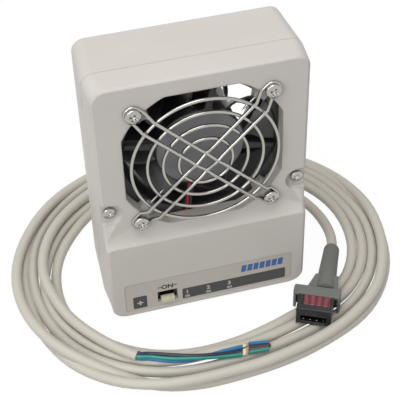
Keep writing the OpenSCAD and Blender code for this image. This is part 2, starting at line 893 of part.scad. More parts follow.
// The cores leave the end of the jacket and lie side by side across the coil
core_route = [
    [-33, -25, 0], [-27, -28.5, 0], [-19, -31, 0], [-10, -32.4, 0], [-1, -32.8, 0], [6, -33, 0], [12, -34, 0]
];
core_z = coil_h + core_d / 2 + 0.1;
module core(k, end) {
    side = (k - 1.5) * (core_d + 0.1);
    tube([for (p = concat(core_route, [end])) p + [side * 0.3, side, core_z]], core_d, 8);
}
module core_green() {
    color("#3c8a4a") core(3, [18.5, -33.4, 0]);
}
module core_dark() {
    color("#2b2740") core(2, [18, -34.6, 0]);
}
module core_blue() {
    color("#2f6fb0") core(1, [17.5, -35.6, 0]);
}
module core_brown() {
    color("#7a4a2c") core(0, [16.6, -37, 0]);
}

// ---------------------------------------------------------------- plug

plug_at = [43.1, -11.65, 8.9];
plug_turn = 243;
neck_tip_w = 8;
neck_w = 11;
neck_h = 7;
hood_step = 8.4;
hood_len = 13.2;
hood_w = 18.3;
hood_rim = 1.2;
hood_recess = 2.6;
body_len = 7.8;
slot_w = 10;
slot_h = 3.1;
slot_depth = 7;
lid_w = 10.6;
lid_len = 5;
lid_shift = 0.6;
lid_t = 1.5;
lid_gap = 0.1;
boot_d = 7;
boot_tip_d = 6;

// Local x points along the plug towards its open end
module at_plug() {
    translate(plug_at) rotate(plug_turn) children();
}

// Runs along the boot, from the plug towards the cable
module along_boot(start = 0) {
    v = cable_route[0] - plug_at;
    translate(plug_at) rotate([0, acos(v[2] / norm(v)), atan2(v[1], v[0])])
        translate([0, 0, start]) children();
}

module plug_boot() {
    boot_len = norm(cable_route[0] - plug_at);
    color("#737370") difference() {
        along_boot() cylinder(d1 = boot_d, d2 = boot_tip_d, h = boot_len + 1);
        at_plug() translate([0, -10, -10]) cube(20);
        along_boot(boot_len - 6) cylinder(d = cable_d + 0.3, h = 8);
    }
}

// Tapered neck and a wide hood, hollow at its front, that shrouds the plug's body
module plug_hood() {
    color("#6e6e6c") at_plug() {
        translate([0, 0, -neck_h / 2]) linear_extrude(neck_h) polygon([
            [0, -neck_tip_w / 2], [hood_step, -neck_w / 2],
            [hood_step, neck_w / 2], [0, neck_tip_w / 2]]);
        difference() {
            hull() {
                for (x = [hood_step + 1, hood_len - 1], s = [-1, 1])
                    translate([x, s * (hood_w / 2 - 1), -plug_h / 2])
                        cylinder(r = 1, h = plug_h, $fn = hull_fn);
            }
            translate([hood_len - hood_recess, hood_rim - hood_w / 2, -plug_h / 2 - 1])
                cube([hood_recess + 1, hood_w - 2 * hood_rim, plug_h + 1 - hood_rim]);
        }
    }
}

module lid_seat(grow = 0) {
    translate([hood_len + 0.2 - grow, lid_shift - lid_w / 2 - grow, plug_h / 2 - lid_t - grow])
        cube([lid_len + 2 * grow, lid_w + 2 * grow, lid_t + 1]);
}

// The contacts lie in one wide slot that is open at the plug's end
module contact_slot() {
    translate([hood_len + body_len - slot_depth, -slot_w / 2, -slot_h / 2 - slot_drop])
        cube([slot_depth + 1, slot_w, slot_h]);
}

module plug_body() {
    top = plug_h / 2 - hood_rim;
    color(black) at_plug() difference() {
        union() {
            translate([hood_len - hood_recess, -plug_body_w / 2, -plug_h / 2])
                cube([hood_recess + 0.1, plug_body_w, plug_h / 2 + top]);
            translate([hood_len + 0.1, -plug_body_w / 2, -plug_h / 2])
                cube([body_len - 0.1, plug_body_w, plug_h]);
        }
        lid_seat(lid_gap);
        contact_slot();
    }
}

module plug_cover() {
    color("#b23a45") at_plug() intersection() {
        lid_seat();
        translate([0, -20, -plug_h / 2]) cube([60, 40, plug_h]);
    }
}

// Four blades that stand on the floor of the slot, rooted in its rear wall
module plug_contacts() {
    color("#c9a24a") at_plug() for (k = [-1.5 : 1 : 1.5])
        translate([hood_len + body_len - slot_depth, k * slot_pitch - 0.4, -slot_h / 2 - slot_drop])
            cube([slot_depth - 1.2, 0.8, 2.2]);
}

// ---------------------------------------------------------------- assembly

module placed() {
    translate([0, -origin_y, 0]) children();
}

placed() front_cover();
placed() rear_cover();
placed() fan_frame();
placed() motor_mount();
placed() fan_rotor();
placed() fan_shaft();
placed() rotor_magnet();
placed() stator_core();
placed() stator_coils();
placed() motor_board();
placed() shaft_bearings();
placed() motor_label();
placed() fan_lead_red();
placed() fan_lead_black();
placed() finger_guard();
placed() guard_screws();
placed() guard_nuts();
placed() case_screws();
placed() needle_holders();
placed() emitter_needles();
placed() control_board();
placed() high_voltage_module();
placed() high_voltage_leads();
placed() switch_body();
placed() switch_knob();
placed() switch_contacts();
placed() indicator_lights();
placed() power_socket();
placed() socket_pins();
placed() filter_capacitor();
placed() panel_overlay();
placed() cable_coil();
placed() cable_lead();
placed() core_blue();
placed() core_brown();
placed() core_green();
placed() core_dark();
placed() plug_boot();
placed() plug_hood();
placed() plug_body();
placed() plug_cover();
placed() plug_contacts();
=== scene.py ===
# %% [markdown]
# A compact ionizing blower stands on a table inside the loose coil of its own power cable.
# The construction model gives every solid its place. This script keeps those solids, gives
# them real finishes, and makes the parts that a construction model only roughs out: the
# coiled cable, the woven wire guard and the printing on the panel.

from math import cos, pi, radians, sin, sqrt

import bmesh
import bpy
from mathutils import Matrix, Vector


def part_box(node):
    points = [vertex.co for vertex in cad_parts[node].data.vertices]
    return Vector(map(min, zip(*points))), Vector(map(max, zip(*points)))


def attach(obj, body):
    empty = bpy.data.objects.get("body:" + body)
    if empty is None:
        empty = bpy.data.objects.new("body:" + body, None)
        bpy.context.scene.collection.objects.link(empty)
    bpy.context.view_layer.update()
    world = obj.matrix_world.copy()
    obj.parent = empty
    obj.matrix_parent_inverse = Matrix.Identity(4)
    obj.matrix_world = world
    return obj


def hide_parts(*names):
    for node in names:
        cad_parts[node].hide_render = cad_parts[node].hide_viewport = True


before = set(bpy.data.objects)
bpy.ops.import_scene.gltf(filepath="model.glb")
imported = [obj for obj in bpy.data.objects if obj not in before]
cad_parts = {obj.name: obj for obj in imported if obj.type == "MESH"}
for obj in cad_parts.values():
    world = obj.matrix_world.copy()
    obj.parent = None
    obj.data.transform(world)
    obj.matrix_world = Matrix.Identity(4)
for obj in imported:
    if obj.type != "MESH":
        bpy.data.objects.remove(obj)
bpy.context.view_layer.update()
MM = 0.001
# The overlay's front is 2.5 mm in front of the fan face, so it tells where that face is
face_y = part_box("panel_overlay")[0][1] + 2.5 * MM


def place(x, y, z):
    """A point in millimetres, measured from the fan face, as the scene's metres."""
    return Vector((x * MM, face_y + y * MM, z * MM))


print("fan face at y =", round(face_y / MM, 2), "mm;", len(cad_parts), "nodes")

# %% [markdown]
# The camera stands to the left of the blower and looks down on it, so the front, the top and
# the whole coil show. A camera can be turned with Euler angles, but three plain directions are
# easier to follow: the one it looks along, its right and its up. They are the columns of its
# matrix. A long lens keeps the upright edges nearly parallel.

# %% Camera
yaw, pitch, roll = radians(13.70), radians(42.58), radians(-1.95)
forward = Vector((sin(yaw) * cos(pitch), cos(yaw) * cos(pitch), -sin(pitch)))
right = Vector((cos(yaw), -sin(yaw), 0))
up = right.cross(forward)
axes = (right * cos(roll) + up * sin(roll), up * cos(roll) - right * sin(roll), -forward)
CAMERA_AT = (-0.0766, -0.32175, 0.3417)
camera = bpy.data.objects.new("camera", bpy.data.cameras.new("camera"))
bpy.context.scene.collection.objects.link(camera)
camera.matrix_world = Matrix.Translation(CAMERA_AT) @ Matrix(axes).transposed().to_4x4()
camera.data.sensor_width = 36
camera.data.lens = 103.78
bpy.context.scene.camera = camera
print("camera", [round(v, 3) for v in camera.location], "lens", camera.data.lens)

# %% [markdown]
# Every finish below is a small node tree. One function adds a node: it takes the kind of node,
# the values or links for its inputs, and its settings. A second turns a hex colour, which is
# written in sRGB as on a colour card, to the linear light values that the renderer works in.
# The last four put pieces into the scene: they turn a bmesh into a mesh with its finish, make
# an object of it that rides on a body, and give the turn that lays an upright shape along a way.


# %% Helpers
def linear(hex_colour):
    values = [int(hex_colour[k:k + 2], 16) / 255 for k in (1, 3, 5)]
    return tuple(v / 12.92 if v <= 0.04045 else ((v + 0.055) / 1.055) ** 2.4 for v in values) + (1,)


def add(tree, kind, inputs=None, **settings):
    made = tree.nodes.new("ShaderNode" + kind)
    for name, value in settings.items():
        setattr(made, name, value)
    for name, value in (inputs or {}).items():
        if isinstance(value, bpy.types.NodeSocket):
            tree.links.new(value, made.inputs[name])
        else:
            made.inputs[name].default_value = value
    return made


def new_finish(name):
    """An empty material: its tree, its shader and the object's own coordinates."""
    material = bpy.data.materials.new(name)
    material.use_nodes = True
    tree = material.node_tree
    return material, tree, tree.nodes["Principled BSDF"], add(tree, "TexCoord").outputs["Object"]


def join(tree, shader, **links):
    for name, socket in links.items():
        tree.links.new(socket, shader.inputs[name.replace("_", " ")])


def blend(tree, factor, first, second):
    """A colour between two others, as a pattern's factor says."""
    mix = add(tree, "Mix", {"Factor": factor}, data_type="RGBA")
    mix.inputs[6].default_value, mix.inputs[7].default_value = first, second
    return mix.outputs[2]


def to_mesh(bm, name, material):
    mesh = bpy.data.meshes.new(name)
    bm.to_mesh(mesh)
    bm.free()
    mesh.materials.append(material)
    return mesh


def link(name, data):
    made = bpy.data.objects.new(name, data)
    bpy.context.scene.collection.objects.link(made)
    return made


def put(name, data, body="root"):
    piece = link(name, data)
    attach(piece, body)
    return piece


def lay_along(way):
    """The turn that takes the upright axis to a direction."""
    return Vector((0, 0, 1)).rotation_difference(way).to_matrix().to_4x4()


print("#c9c6c0 in linear light:", [round(v, 3) for v in linear("#c9c6c0")[:3]])

# %% [markdown]
# Most of this object is plastic that came out of a steel mould. The mould is spark-eroded, so
# the surface has a fine even grain, and it is never one flat colour: flow and handling leave
# slow, faint clouds in it. The grain of such a mould is about 0.1 mm. It is drawn here at
# 0.35 mm, because a finer one would not show. One function makes all the moulded finishes, and
# each call names the plastic, its colour, its gloss and its grain. The Bevel node rounds the
# shading of each sharp edge, as a real mould's radius does, without touching the solid.


# %% Moulded plastics
CLOUD_MM = 22


def moulded(name, colour, cloud, roughness, grain_mm=0.35, grain=0.05, edge_mm=0.3, ior=1.53):
    material, tree, shader, here = new_finish(name)
    slow = add(tree, "TexNoise", {"Vector": here, "Scale": 1 / (CLOUD_MM * MM), "Detail": 2.0})
    fine = add(tree, "TexNoise", {"Vector": here, "Scale": 1 / (grain_mm * MM), "Detail": 1.0})
    worn = add(tree, "MapRange", {"Value": slow.outputs["Fac"], "To Min": roughness - 0.05,
                                  "To Max": roughness + 0.05})
    edge = add(tree, "Bevel", {"Radius": edge_mm * MM}, samples=4)
    bump = add(tree, "Bump", {"Height": fine.outputs["Fac"], "Strength": grain, "Distance": 0.05 * MM,
                              "Normal": edge.outputs["Normal"]})
    join(tree, shader, Base_Color=blend(tree, slow.outputs["Fac"], linear(colour), linear(cloud)),
         Roughness=worn.outputs["Result"], Normal=bump.outputs["Normal"])
    shader.inputs["IOR"].default_value = ior
    return material


# ABS of the case: a warm light grey, satin, with the grain of the mould
case_abs = moulded("moulded_abs_warm_grey", "#cac5be", "#d2cdc7", 0.50, edge_mm=0.8)
# Polyester film of the overlay: a shade darker and smoother than the case
film = moulded("polyester_film_grey", "#bdb7ad", "#c2bcb3", 0.42, 0.2, 0.02, 0.05, 1.6)
# Glass-filled PBT of the fan: near black, half matt
fan_pbt = moulded("glass_filled_pbt_black", "#1a1a1c", "#232325", 0.45, 0.3, 0.08, 0.2, 1.56)
blade_pbt = moulded("glass_filled_pbt_rotor", "#19191c", "#212125", 0.38, 0.3, 0.05, 0.2, 1.56)
# Flexible PVC of the boot and hood: mid grey and dull
boot_pvc = moulded("flexible_pvc_mid_grey", "#686964", "#6f706b", 0.62, 0.4, 0.06, 0.4, 1.52)
# Polyamide of the plug's body: black, satin
plug_nylon = moulded("polyamide_black", "#131216", "#19181c", 0.40, 0.3, 0.05, 0.25, 1.53)
# Ivory acetal of the switch knob, which slides without grease
knob_acetal = moulded("acetal_ivory", "#cfc9ae", "#d8d2b8", 0.35, 0.3, 0.03, 0.2, 1.48)
# Pale polycarbonate of the emitter holders
holder_pc = moulded("polycarbonate_pale_grey", "#a8a6a1", "#b4b2ad", 0.4, 0.3, 0.04, 0.25, 1.58)
socket_nylon = moulded("polyamide_natural", "#d9d4c6", "#e0dbcd", 0.45, 0.3, 0.04)
potting_epoxy = moulded("potting_epoxy_charcoal", "#35373b", "#3d3f44", 0.3, 0.8, 0.1)
print("moulded finishes:", len(bpy.data.materials))

# %% [markdown]
# Metal needs only a colour, a full metallic value and a roughness, because it has no body
# colour under its shine. Wire and screws are nickel-plated steel, drawn or rolled, so fine
# scratches run over them. Copper, brass and tinned strands follow the same recipe.


# %% Metals
def metal(name, colour, roughness, scratch_mm=0.25):
    material, tree, shader, here = new_finish(name)
    scratch = add(tree, "TexNoise", {"Vector": here, "Scale": 1 / (scratch_mm * MM), "Detail": 2.0})
    span = add(tree, "MapRange", {"Value": scratch.outputs["Fac"], "To Min": roughness * 0.7,
                                  "To Max": roughness * 1.3})
    bump = add(tree, "Bump", {"Height": scratch.outputs["Fac"], "Strength": 0.04, "Distance": 0.02 * MM})
    join(tree, shader, Roughness=span.outputs["Result"], Normal=bump.outputs["Normal"])
    shader.inputs["Base Color"].default_value = linear(colour)
    shader.inputs["Metallic"].default_value = 1.0
    return material


nickel = metal("nickel_plated_steel", "#b0aea9", 0.12)
needle_steel = metal("ground_tungsten", "#b9babd", 0.25)
steel = metal("bright_steel", "#c6c7c9", 0.25)
lamination = metal("silicon_steel_sheet", "#86888c", 0.45)
ferrite = metal("bonded_ferrite", "#47474a", 0.6)
copper = metal("enamelled_copper", "#b5692f", 0.3)
brass = metal("gold_flashed_brass", "#cfa85a", 0.25)
tinned = metal("tinned_copper_strand", "#d8cdb4", 0.4)
print("plastics and metals:", len(bpy.data.materials))

# %% [markdown]
# A flexible cord has a jacket of soft PVC, pressed round its cores while hot. It is dull, a
# little waxy, and its colour drifts slowly along it where it was handled. The cores inside
# have the same plastic in strong colours, thinner and glossier.


# %% Cable plastics
def soft_pvc(name, colour, cloud, roughness, drift_mm=30.0):
    material, tree, shader, here = new_finish(name)
    drift = add(tree, "TexNoise", {"Vector": here, "Scale": 1 / (drift_mm * MM), "Detail": 3.0})
    skin = add(tree, "TexNoise", {"Vector": here, "Scale": 1 / (0.9 * MM), "Detail": 2.0})
    bump = add(tree, "Bump", {"Height": skin.outputs["Fac"], "Strength": 0.06, "Distance": 0.06 * MM})
    join(tree, shader, Base_Color=blend(tree, drift.outputs["Fac"], linear(colour), linear(cloud)),
         Normal=bump.outputs["Normal"])
    shader.inputs["Roughness"].default_value = roughness
    shader.inputs["IOR"].default_value = 1.53
    shader.inputs["Sheen Weight"].default_value = 0.08
    return material


jacket = soft_pvc("pvc_jacket_warm_grey", "#c0bcb0", "#cac5ba", 0.5)
core_finish = {
    "core_blue": soft_pvc("pvc_core_blue", "#146aa2", "#2179b0", 0.38),
    "core_green": soft_pvc("pvc_core_green", "#14867a", "#1f9488", 0.38),
    "core_dark": soft_pvc("pvc_core_navy", "#17182f", "#20213a", 0.38),
    "core_brown": soft_pvc("pvc_core_brown", "#54302a", "#623c34", 0.38),
}
print("cable finishes:", 1 + len(core_finish))

# %% [markdown]
# The cable is one length of flexible cord, wound by hand in loops that wander. It could be a
# spiral, but a spiral looks drawn with a compass. Here each knot gives a turn angle in degrees,
# a lane, and the height of the cord's middle in millimetres. The lanes are strands side by
# side, 4.2 mm apart, and start at the inner edge of the coil, an ellipse round the blower. A
# smooth curve through the knots gives each strand its drift and the places where it rides over
# another.

# %% Knots of the cable
LOOP_MID = (3.0, 21.3)
LOOP_HALF = (57.5, 49.5)
CABLE = 4.2
knots = [
    (-10.4, -1.07, 3.3), (-3, -1.08, 2.4), (20, -1, 2.1), (40, -0.8, 2.1), (60, -0.5, 2.1),
    (90, -0.25, 2.1), (120, -0.15, 2.1), (150, -0.28, 2.1), (165, 0.0, 2.1), (180, 0.35, 2.1),
    (200, 0.9, 2.1), (225, 0.85, 2.1), (245, 0.45, 2.1), (260, -0.1, 2.1), (272, -0.5, 2.1),
    (288, -0.85, 2.1), (300, -0.9, 2.1), (315, -0.2, 2.1), (330, 0.6, 2.1), (345, 0.82, 2.1),
    (360, 0.9, 2.1), (375, 1, 2.1), (400, 0.95, 2.1), (430, 0.9, 2.1), (460, 0.8, 2.1),
    (490, 0.7, 2.1), (510, 0.9, 2.1), (525, 1.05, 2.1), (536, 1.35, 2.1), (557, 1.8, 2.1),
    (567, 1.85, 2.1), (585, 1.85, 2.1), (600, 1.5, 3.0), (614, 1.05, 4.6), (622, 0.65, 5),
    (632, 0.4, 3.3), (645, 0.1, 2.4), (655, 0.06, 2.1), (670, 0.6, 2.1), (685, 1.4, 2.1),
    (700, 1.8, 2.1), (711, 1.88, 2.1), (720, 1.92, 2.1), (733, 1.8, 2.1), (760, 2.1, 2.1),
    (790, 2.5, 2.1), (820, 2.9, 2.1), (844, 3.15, 2.1), (871, 2.92, 2.1), (881, 2.76, 2.1),
    (894, 2.44, 2.1), (905, 2.5, 2.1), (921, 2.8, 2.1), (931, 3.0, 2.1), (947, 2.9, 2.1),
    (960, 2.6, 2.1), (974, 2.1, 2.1), (982, 1.7, 2.1), (990, 1.45, 2.1), (1002, 1.27, 2.1),
    (1011, 1.32, 2.1), (1025, 1.75, 2.1), (1040, 2.4, 2.1), (1056, 2.75, 2.1), (1070, 2.85, 2.1),
    (1080, 2.94, 2.1), (1092, 2.7, 2.1), (1120, 3, 2.1), (1150, 3.3, 2.1), (1180, 3.7, 2.1),
    (1200, 3.8, 2.1), (1220, 3.6, 2.1), (1240, 3.4, 2.1), (1253, 3.36, 2.1), (1264, 3.32, 2.1),
    (1268, 3.43, 2.1), (1285, 4.08, 2.1), (1297, 4.49, 2.1), (1304, 4.5, 2.1), (1310, 4.6, 3),
    (1316, 4.55, 4), (1323, 4.5, 5.4), (1328, 4.35, 6.2), (1334, 3.95, 6.3), (1341, 3.58, 6.3),
    (1347, 3.36, 6.3), (1358, 3.26, 6.3), (1365, 3.16, 6.3), (1385, 3.5, 6.3), (1399, 3.84, 6.3),
    (1409, 4.03, 6.3), (1413, 3.8, 6.3), (1422, 3.72, 6.3), (1427, 3.66, 6.3), (1436, 3.54, 6.3),
    (1440, 3.6, 6), (1455, 3.8, 4), (1480, 3.9, 2.5), (1500, 3.9, 2.1), (1560, 3.7, 3.6),
    (1590, 3.5, 6.3), (1596, 3.54, 6.3), (1605, 3.73, 6.3), (1616, 4.01, 6.3), (1626, 4.15, 6.3),
    (1630, 4.25, 6.3), (1650, 4.31, 6.3), (1657, 3.95, 4.6), (1663, 3.6, 2.4), (1669, 3.75, 2.1),
    (1676, 3.95, 2.1), (1682, 4.11, 2.1), (1688, 3.93, 2.1), (1694, 3.79, 2.1), (1701, 3.48, 2.1),
    (1708, 3.22, 2.1), (1718, 3.11, 2.1), (1726, 3.13, 2.1), (1746, 3.47, 2.1), (1750, 3.72, 2.1),
    (1755, 3.88, 2.1), (1760, 4.09, 2.1), (1775, 4.1, 2.1), (1790, 3.9, 2.1), (1800, 3.7, 2.1),
    (1830, 3.4, 3), (1860, 2.6, 6.3), (1900, 1.6, 6.3), (1931, 1.17, 6.3), (1954, 1.39, 6.3),
    (1965, 1.46, 6.3), (1979, 1.4, 6.3), (1991, 1.12, 6.3), (1996, 1.24, 6.3), (2007, 1.28, 6.3),
    (2016, 1.42, 6.3), (2024, 1.62, 6.1), (2032, 1.8, 5.9),
]
print("knots:", len(knots), "over", round((knots[-1][0] - knots[0][0]) / 360, 1), "turns")

# %% [markdown]
# The curve between two knots is a cubic. An ordinary spline would overshoot where a strand
# climbs over another and push it through the table, so each slope is held to zero at a peak.
# The path is then walked in small steps, eased a little, and its length measured.


# %% Path of the cable
def between(track, angle):
    """Height and lane at an angle: a cubic between knots that never overshoots them."""
    k = max(i for i in range(len(track) - 1) if track[i][0] <= angle or i == 0)

    def slope(i, column):
        if i in (0, len(track) - 1):
            return 0.0
        left = (track[i][column] - track[i - 1][column]) / (track[i][0] - track[i - 1][0])
        ahead = (track[i + 1][column] - track[i][column]) / (track[i + 1][0] - track[i][0])
        return 0.0 if left * ahead <= 0 else 2 * left * ahead / (left + ahead)

    width = track[k + 1][0] - track[k][0]
    t = (angle - track[k][0]) / width
    values = []
    for column in (1, 2):
        a, b = track[k][column], track[k + 1][column]
        values.append((1 + 2 * t) * (1 - t) ** 2 * a + t * (1 - t) ** 2 * width * slope(k, column)
                      + t * t * (3 - 2 * t) * b + t * t * (t - 1) * width * slope(k + 1, column))
    return values


def on_loop(angle, lane, height):
    turn = radians(angle)
    inner = 1 / sqrt((cos(turn) / LOOP_HALF[0]) ** 2 + (sin(turn) / LOOP_HALF[1]) ** 2)
    reach = inner + CABLE / 2 + lane * CABLE
    return place(LOOP_MID[0] + reach * cos(turn), LOOP_MID[1] + reach * sin(turn), height)


def length_of(points):
    return sum((b - a).length for a, b in zip(points, points[1:]))


STEP_DEG = 3.5
boot_root, boot_tip = place(45.2, -12.7, 8.9), place(54.75, 7.15, 4.3)
start, end = knots[0][0], knots[-1][0]
steps = round((end - start) / STEP_DEG)
# The first two points lie inside the boot, in line with it
cable_points = [boot_tip + (boot_root - boot_tip).normalized() * 4 * MM, boot_tip]
for k in range(steps + 1):
    angle = start + (end - start) * k / steps
    cable_points.append(on_loop(angle, *between(knots, angle)))
for _ in range(3):
    eased = [(a + 2 * b + c) / 4 for a, b, c in zip(cable_points, cable_points[1:], cable_points[2:])]
    cable_points = [cable_points[0]] + eased + [cable_points[-1]]
print("cable:", len(cable_points), "points,", round(length_of(cable_points), 3), "m")

# %% [markdown]
# A cord is drawn as a curve of one open spline with a round section. That keeps it light and
# exact in length, which a hand-made tube of faces would not.


# %% Cable
def cord_curve(name, points, diameter_mm, material, sides=5):
    data = bpy.data.curves.new(name, "CURVE")
    data.dimensions = "3D"
    data.bevel_depth = diameter_mm * MM / 2
    data.bevel_resolution = sides
    data.use_fill_caps = True
    spline = data.splines.new("POLY")
    spline.points.add(len(points) - 1)
    for target, point in zip(spline.points, points):
        target.co = (*point, 1)
    spline.use_smooth = True
    data.materials.append(material)
    return put(name, data)


cable = cord_curve("power_cable", cable_points, CABLE, jacket)
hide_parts("cable_coil", "cable_lead")
print("made", cable.name)

# %% [markdown]
# At the far end the jacket stops and four cores come out of it. They were stripped the way a
# factory does it: the insulation is cut near the end and pushed along, so a slug of it still
# guards the tip and about 3 mm of bare strand shows in between. The cores lie on the coil, so
# they are curves through points in millimetres that were laid on its surface.

# %% Lay of the cores
jacket_end = cable_points[-1]
core_lay = {
    # name: start across and up from the middle of the jacket, the way of the core, the way of its slug
    "core_dark": (
        (0.6, 0.8),
        [
            (-30.2, -27.6, 5.9), (-23.3, -31.0, 6.7), (-16.4, -34.1, 7.3), (-9.0, -35.7, 7.1),
            (-2.8, -35.7, 6.1), (3.6, -35.7, 5.0),
        ],
        [(7.1, -34.3, 5.0), (10.8, -35.0, 4.95), (14.8, -35.4, 4.95)],
    ),
    "core_green": (
        (-0.7, 0.5),
        [
            (-30.6, -29.2, 6.1), (-26.4, -31.4, 6.3), (-21.5, -33.4, 6.5), (-16.5, -34.9, 6.8),
            (-10.6, -36.1, 6.6), (-5.2, -36.4, 5.8), (0.0, -36.9, 5.2), (3.2, -37.1, 4.95),
        ],
        [(6.1, -36.8, 4.95), (10.0, -37.1, 4.95), (13.6, -37.2, 4.95)],
    ),
    "core_blue": (
        (-0.5, -0.8),
        [
            (-30.7, -29.4, 5.1), (-26.5, -31.6, 5.15), (-21.6, -33.5, 5.25), (-17.3, -34.6, 5.4),
            (-12.7, -35.1, 5.9), (-8.9, -34.9, 6.0), (-5.7, -34.6, 6.1), (-2.5, -34.5, 6.2),
            (0.7, -34.3, 6.0), (4.0, -33.9, 5.6),
        ],
        [(7.1, -33.2, 5.5), (10.9, -33.4, 5.0), (14.3, -34.0, 4.95)],
    ),
    "core_brown": (
        (0.7, -0.6),
        [
            (-29.7, -28.6, 5.2), (-23.5, -31.7, 5.6), (-16.4, -34.1, 5.9), (-9.0, -35.5, 5.6),
            (-2.8, -35.9, 5.0), (3.4, -36.4, 4.95),
        ],
        [(6.5, -35.5, 4.95), (10.1, -36.0, 4.95), (13.8, -36.2, 4.95)],
    ),
}
print("cores:", list(core_lay))

# %% [markdown]
# Each core is a curve that starts a millimetre inside the jacket. Cutting the corners of its
# line a few times makes it bend softly. Each bare place is a bundle of seven thin rods, which
# costs less than twisted wires and looks the same at this size.


# %% Cores, bare strands and slugs
CORE = 1.5
STRAND_R, STRAND_GAP = 0.2 * MM, 0.42 * MM


def soften(points, rounds):
    """More points and gentler bends, by cutting corners; the two ends stay."""
    for _ in range(rounds):
        cut = [points[0]]
        for a, b in zip(points, points[1:]):
            cut += [a * 0.75 + b * 0.25, a * 0.25 + b * 0.75]
        points = cut + [points[-1]]
    return points


def strands(name, begin, end):
    """Seven rods in one bundle, which reach a little way under the insulation at both ends."""
    bm = bmesh.new()
    along = end - begin
    for k in range(7):
        out = 0.0 if k == 0 else STRAND_GAP
        shift = Vector((out * cos(k * pi / 3), out * sin(k * pi / 3), 0))
        bmesh.ops.create_cone(bm, cap_ends=True, segments=8, radius1=STRAND_R, radius2=STRAND_R,
                              depth=along.length + 0.8 * MM,
                              matrix=Matrix.Translation((begin + end) / 2) @ lay_along(along)
                              @ Matrix.Translation(shift))
    mesh = to_mesh(bm, name, tinned)
    mesh.shade_smooth()
    return put(name, mesh)


core_lengths = {}
ahead = (cable_points[-1] - cable_points[-3]).normalized()
across = Vector((-ahead.y, ahead.x, 0))
for name, (first, way, slug_way) in core_lay.items():
    side = across * first[0] * MM + Vector((0, 0, first[1] * MM))
    inside = [jacket_end - ahead * MM + side, jacket_end + ahead * MM + side]
    points = soften(inside + [place(*p) for p in way], 3)
    slug_points = soften([place(*p) for p in slug_way], 2)
    piece = cord_curve(name + "_core", points, CORE, core_finish[name], 4)
    bare = strands(name + "_strands", points[-1], slug_points[0])
    slug = cord_curve(name + "_slug", slug_points, CORE, core_finish[name], 4)
    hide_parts(name)
    core_lengths[name] = length_of(points)
print("cores, mm:", {name: round(v / MM, 1) for name, v in core_lengths.items()})

# %% [markdown]
# The guard is bent from steel wire: four rings, and two long loops laid crosswise over them
# and welded on. The construction model lets the loops run straight through each other. Real
# ones are woven where they cross, each wire over one and under the next, so they are drawn
# again here as closed curves whose height rises and falls by a quarter of a wire at each
# crossing, as the weld presses them a little into each other.

# %% Finger guard
WIRE = 1.3
FAN_Z = 73.5  # height of the fan's axis
SCREW_PITCH = 50
CORNER = SCREW_PITCH / sqrt(2)
PAIR = 2.85  # half the distance between the two wires of a loop
RING_OUT, RING_STEP, RING_FRONT = 27.2, 5.75, 2.4
BAR = RING_FRONT + WIRE - 0.15  # how far the loops lie in front of the fan face
SWAY, FADE_FROM, FADE_END = 0.32, 4.3, 6.6


def loop_points(axis, rises):
    """One closed loop: out along one side, round the corner screw, back along the other."""
    normal = (-axis[1], axis[0])
    flat = [-CORNER, -32.16, -28.76] + [k * 0.95 - 8.55 for k in range(19)] + [28.76, 32.16, CORNER]
    points = []
    for sign, rise in ((1, rises[0]), (-1, rises[1])):
        for u in flat if sign == 1 else reversed(flat):
            fade = min(1, max(0, (FADE_END - abs(u)) / (FADE_END - FADE_FROM)))
            front = WIRE / 2 if abs(u) > 31 else BAR + rise * fade * SWAY * sin(pi * u / (2 * PAIR))
            points.append((u, sign * PAIR, front))
        for k in range(1, 12):
            turn = pi / 2 - pi * k / 12
            points.append((sign * (CORNER + PAIR * cos(turn)), sign * PAIR * sin(turn), WIRE / 2))
    return [place(u * axis[0] + w * normal[0], -front, FAN_Z + u * axis[1] + w * normal[1])
            for u, w, front in points]


half = sqrt(0.5)
rings = [[place(r * cos(a * pi / 36), -RING_FRONT, FAN_Z + r * sin(a * pi / 36)) for a in range(72)]
         for r in [RING_OUT - RING_STEP * k for k in range(4)]]
loops = [loop_points((half, -half), (1, -1)), loop_points((-half, -half), (-1, 1))]
guard_data = bpy.data.curves.new("wire_guard", "CURVE")
guard_data.dimensions = "3D"
guard_data.bevel_depth = WIRE * MM / 2
guard_data.bevel_resolution = 4
for points in rings + loops:
    spline = guard_data.splines.new("POLY")
    spline.points.add(len(points) - 1)
    for target, point in zip(spline.points, points):
        target.co = (*point, 1)
    spline.use_cyclic_u = True
    spline.use_smooth = True
guard_data.materials.append(nickel)
guard = put("wire_guard", guard_data)
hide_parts("finger_guard")
print("guard:", len(guard_data.splines), "wires")

# %% [markdown]
# The solids come from the construction model as loose triangles, each with its own corners, so
# light breaks at every edge of a rounding. A copy whose corners are merged can be smooth
# where the real part is round and sharp where it has an edge. The Weighted Normal modifier
# then lets the large flat faces win, so a flat wall stays flat right up to its rounding.


# %% Smooth copies of the visible solids
def smooth_copy(name, material, body="root", angle=28, bevel_mm=0.0):
    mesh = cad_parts[name].data.copy()
    bm = bmesh.new()
    bm.from_mesh(mesh)
    bmesh.ops.remove_doubles(bm, verts=bm.verts, dist=0.002 * MM)
    bmesh.ops.dissolve_degenerate(bm, dist=0.001 * MM, edges=bm.edges)
    if bevel_mm:
        bmesh.ops.dissolve_limit(bm, angle_limit=radians(1), verts=bm.verts, edges=bm.edges)
    bmesh.ops.recalc_face_normals(bm, faces=bm.faces)
    bm.to_mesh(mesh)
    bm.free()
    mesh.shade_smooth()
    mesh.set_sharp_from_angle(angle=radians(angle))
    mesh.materials.clear()
    mesh.materials.append(material)
    piece = put(name + "_finished", mesh, body)
    if bevel_mm:
        bevel = piece.modifiers.new("edge", "BEVEL")
        bevel.width, bevel.segments, bevel.limit_method = bevel_mm * MM, 3, "ANGLE"
        bevel.angle_limit = radians(35)
    weigh = piece.modifiers.new("flat_first", "WEIGHTED_NORMAL")
    weigh.keep_sharp = True
    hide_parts(name)
    return piece


